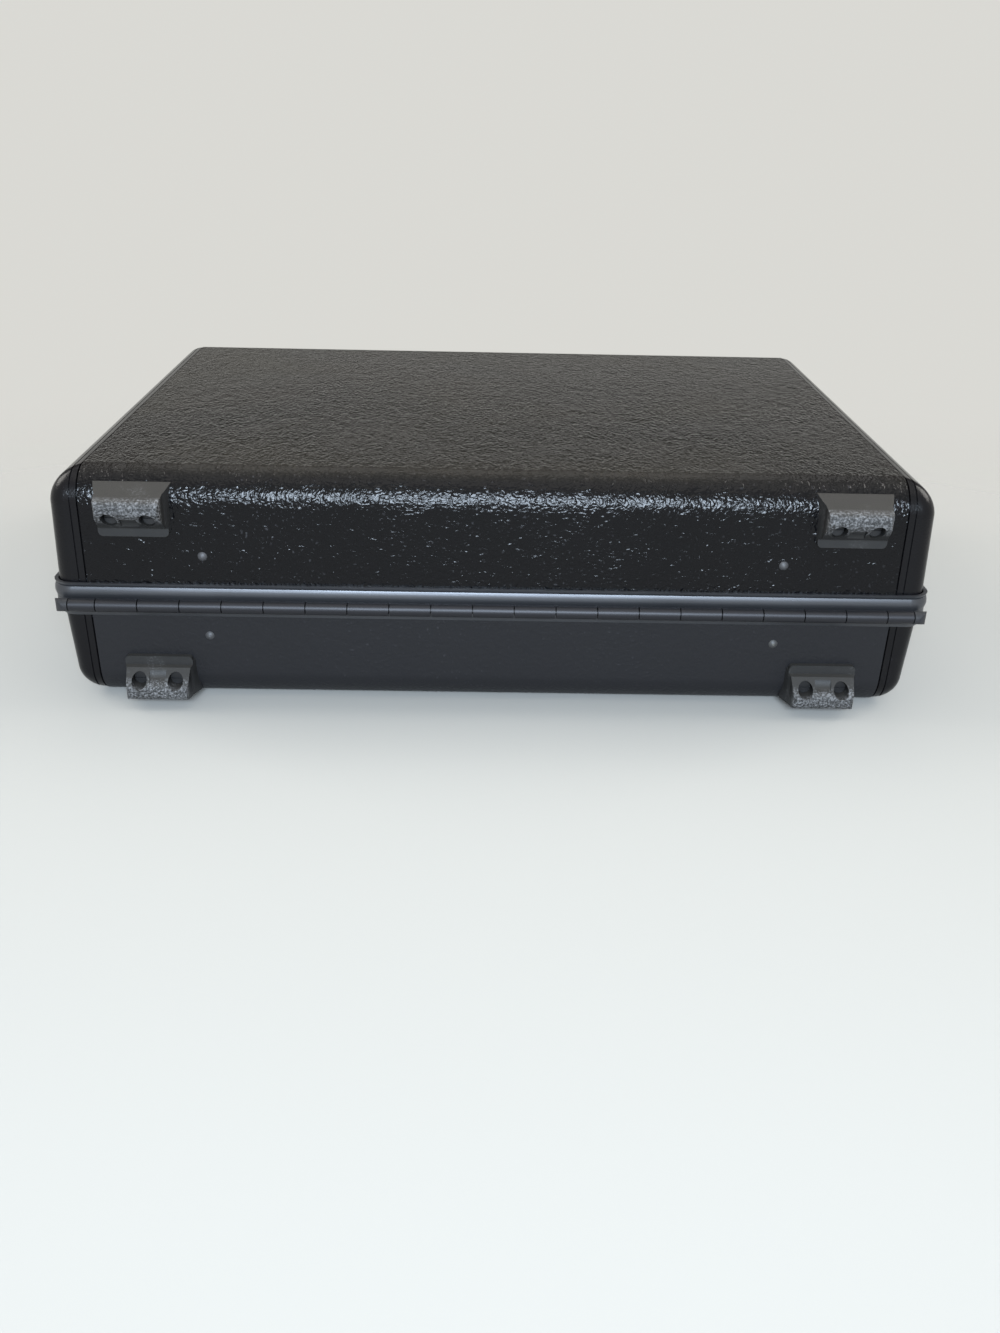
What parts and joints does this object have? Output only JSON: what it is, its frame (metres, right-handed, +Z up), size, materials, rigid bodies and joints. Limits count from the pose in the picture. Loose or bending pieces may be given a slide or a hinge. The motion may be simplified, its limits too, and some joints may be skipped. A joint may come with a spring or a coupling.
{
  "type": "hardshell briefcase",
  "caption": "Hardshell attache case with grained shells, metal rim frames, a piano hinge, folding lid stays, a swing handle and combination latches.",
  "frame": {"origin": "centre of the bottom resting face, under the middle of the rim frames", "axes": "+X along the case to the right as seen from the handle side, -Y towards the handle side, +Y towards the hinge, +Z up through the lid"},
  "size_m": [0.457, 0.3776, 0.127],
  "materials": {
    "shell_skin": "pebbled grain",
    "end_cap": "fine grain",
    "frame_metal": "dark satin, scuffed",
    "hinge_steel": "dark satin, worn",
    "moulded_black": "worn gloss",
    "foot_plastic": "worn",
    "screw_steel": "dulled",
    "stay_steel": "plated",
    "lining_fabric": "woven",
    "pocket_leather": "smooth",
    "grip_plastic": "fine grain",
    "fitting_metal": "dark satin",
    "lock_steel": "plated",
    "dial_brass": "satin"
  },
  "bodies": {
    "base": {"base_end_cap_left": "end_cap", "base_end_cap_right": "end_cap", "base_frame": "frame_metal", "base_lining": "lining_fabric", "base_panel": "shell_skin", "dial_shafts": "screw_steel", "foot_base_left": "foot_plastic", "foot_base_right": "foot_plastic", "foot_nuts_base": "screw_steel", "foot_screws_base": "screw_steel", "handle_brackets": "fitting_metal", "handle_rivets": "screw_steel", "hasp_pins": "screw_steel", "hinge_end_plugs": "moulded_black", "hinge_leaf_base": "hinge_steel", "hinge_pin": "hinge_steel", "latch_body_left": "fitting_metal", "latch_body_right": "fitting_metal", "lock_case_left": "lock_steel", "lock_case_right": "lock_steel", "stay_brackets_base": "stay_steel", "stay_pivots_base": "screw_steel", "wall_rivets_base": "screw_steel"},
    "lid": {"foot_lid_left": "foot_plastic", "foot_lid_right": "foot_plastic", "foot_nuts_lid": "screw_steel", "foot_screws_lid": "screw_steel", "hinge_leaf_lid": "hinge_steel", "latch_strikes": "fitting_metal", "lid_end_cap_left": "end_cap", "lid_end_cap_right": "end_cap", "lid_frame": "frame_metal", "lid_lining": "lining_fabric", "lid_panel": "shell_skin", "lid_pocket": "pocket_leather", "stay_brackets_lid": "stay_steel", "stay_pivots_lid": "screw_steel", "wall_rivets_lid": "screw_steel"},
    "base_stay_arm_left": {"stay_arm_base_left": "stay_steel", "stay_elbow_left": "screw_steel"},
    "lid_stay_arm_left": {"stay_arm_lid_left": "stay_steel"},
    "base_stay_arm_right": {"stay_arm_base_right": "stay_steel", "stay_elbow_right": "screw_steel"},
    "lid_stay_arm_right": {"stay_arm_lid_right": "stay_steel"},
    "handle": {"handle_grip": "grip_plastic", "handle_ferrules": "fitting_metal", "handle_pins": "screw_steel"},
    "hasp_left": {"latch_hasp_left": "fitting_metal"},
    "button_left": {"latch_button_left": "fitting_metal"},
    "dial_left_1": {"dial_left_1": "dial_brass"},
    "dial_left_2": {"dial_left_2": "dial_brass"},
    "dial_left_3": {"dial_left_3": "dial_brass"},
    "hasp_right": {"latch_hasp_right": "fitting_metal"},
    "button_right": {"latch_button_right": "fitting_metal"},
    "dial_right_1": {"dial_right_1": "dial_brass"},
    "dial_right_2": {"dial_right_2": "dial_brass"},
    "dial_right_3": {"dial_right_3": "dial_brass"}
  },
  "joints": [
    {"name": "lid_hinge", "type": "hinge", "parent": "base", "child": "lid", "pos_m": [0, 0.1682, 0.058], "axis": [-1, 0, 0], "range_deg": [0, 100]},
    {"name": "base_arm_left_pivot", "type": "hinge", "parent": "base", "child": "base_stay_arm_left", "pos_m": [-0.1392, 0.12693, 0.0386], "axis": [-1, 0, 0], "range_deg": [0, 100]},
    {"name": "lid_arm_left_pivot", "type": "hinge", "parent": "lid", "child": "lid_stay_arm_left", "pos_m": [-0.1372, 0.13033, 0.0834], "axis": [-1, 0, 0], "range_deg": [-100, 0]},
    {"name": "base_arm_right_pivot", "type": "hinge", "parent": "base", "child": "base_stay_arm_right", "pos_m": [0.1392, 0.12693, 0.0386], "axis": [-1, 0, 0], "range_deg": [0, 100]},
    {"name": "lid_arm_right_pivot", "type": "hinge", "parent": "lid", "child": "lid_stay_arm_right", "pos_m": [0.1372, 0.13033, 0.0834], "axis": [-1, 0, 0], "range_deg": [-100, 0]},
    {"name": "handle_pivot", "type": "hinge", "parent": "base", "child": "handle", "pos_m": [0, -0.1725, 0.04], "axis": [-1, 0, 0], "range_deg": [0, 160]},
    {"name": "hasp_left_pivot", "type": "hinge", "parent": "base", "child": "hasp_left", "pos_m": [-0.142, -0.1698, 0.031], "axis": [1, 0, 0], "range_deg": [-62, 0], "stiffness_Nm_per_rad": 0.03, "springref_deg": 28.65},
    {"name": "button_left_slide", "type": "slide", "parent": "base", "child": "button_left", "axis": [-1, 0, 0], "range_m": [0, 0.005], "stiffness_N_per_m": 150, "springref_m": -0.002},
    {"name": "dial_left_1_spin", "type": "hinge", "parent": "base", "child": "dial_left_1", "pos_m": [-0.125, -0.1628, 0.037], "axis": [1, 0, 0], "continuous": true},
    {"name": "dial_left_2_spin", "type": "hinge", "parent": "base", "child": "dial_left_2", "pos_m": [-0.1194, -0.1628, 0.037], "axis": [1, 0, 0], "continuous": true},
    {"name": "dial_left_3_spin", "type": "hinge", "parent": "base", "child": "dial_left_3", "pos_m": [-0.1138, -0.1628, 0.037], "axis": [1, 0, 0], "continuous": true},
    {"name": "hasp_right_pivot", "type": "hinge", "parent": "base", "child": "hasp_right", "pos_m": [0.142, -0.1698, 0.031], "axis": [1, 0, 0], "range_deg": [-62, 0], "stiffness_Nm_per_rad": 0.03, "springref_deg": 28.65},
    {"name": "button_right_slide", "type": "slide", "parent": "base", "child": "button_right", "axis": [1, 0, 0], "range_m": [0, 0.005], "stiffness_N_per_m": 150, "springref_m": -0.002},
    {"name": "dial_right_1_spin", "type": "hinge", "parent": "base", "child": "dial_right_1", "pos_m": [0.125, -0.1628, 0.037], "axis": [1, 0, 0], "continuous": true},
    {"name": "dial_right_2_spin", "type": "hinge", "parent": "base", "child": "dial_right_2", "pos_m": [0.1194, -0.1628, 0.037], "axis": [1, 0, 0], "continuous": true},
    {"name": "dial_right_3_spin", "type": "hinge", "parent": "base", "child": "dial_right_3", "pos_m": [0.1138, -0.1628, 0.037], "axis": [1, 0, 0], "continuous": true}
  ],
  "couplings": [
    {"joint": "base_arm_left_pivot", "follows": "lid_hinge", "ratio": 1},
    {"joint": "lid_arm_left_pivot", "follows": "lid_hinge", "ratio": -1},
    {"joint": "base_arm_right_pivot", "follows": "lid_hinge", "ratio": 1},
    {"joint": "lid_arm_right_pivot", "follows": "lid_hinge", "ratio": -1}
  ]
}
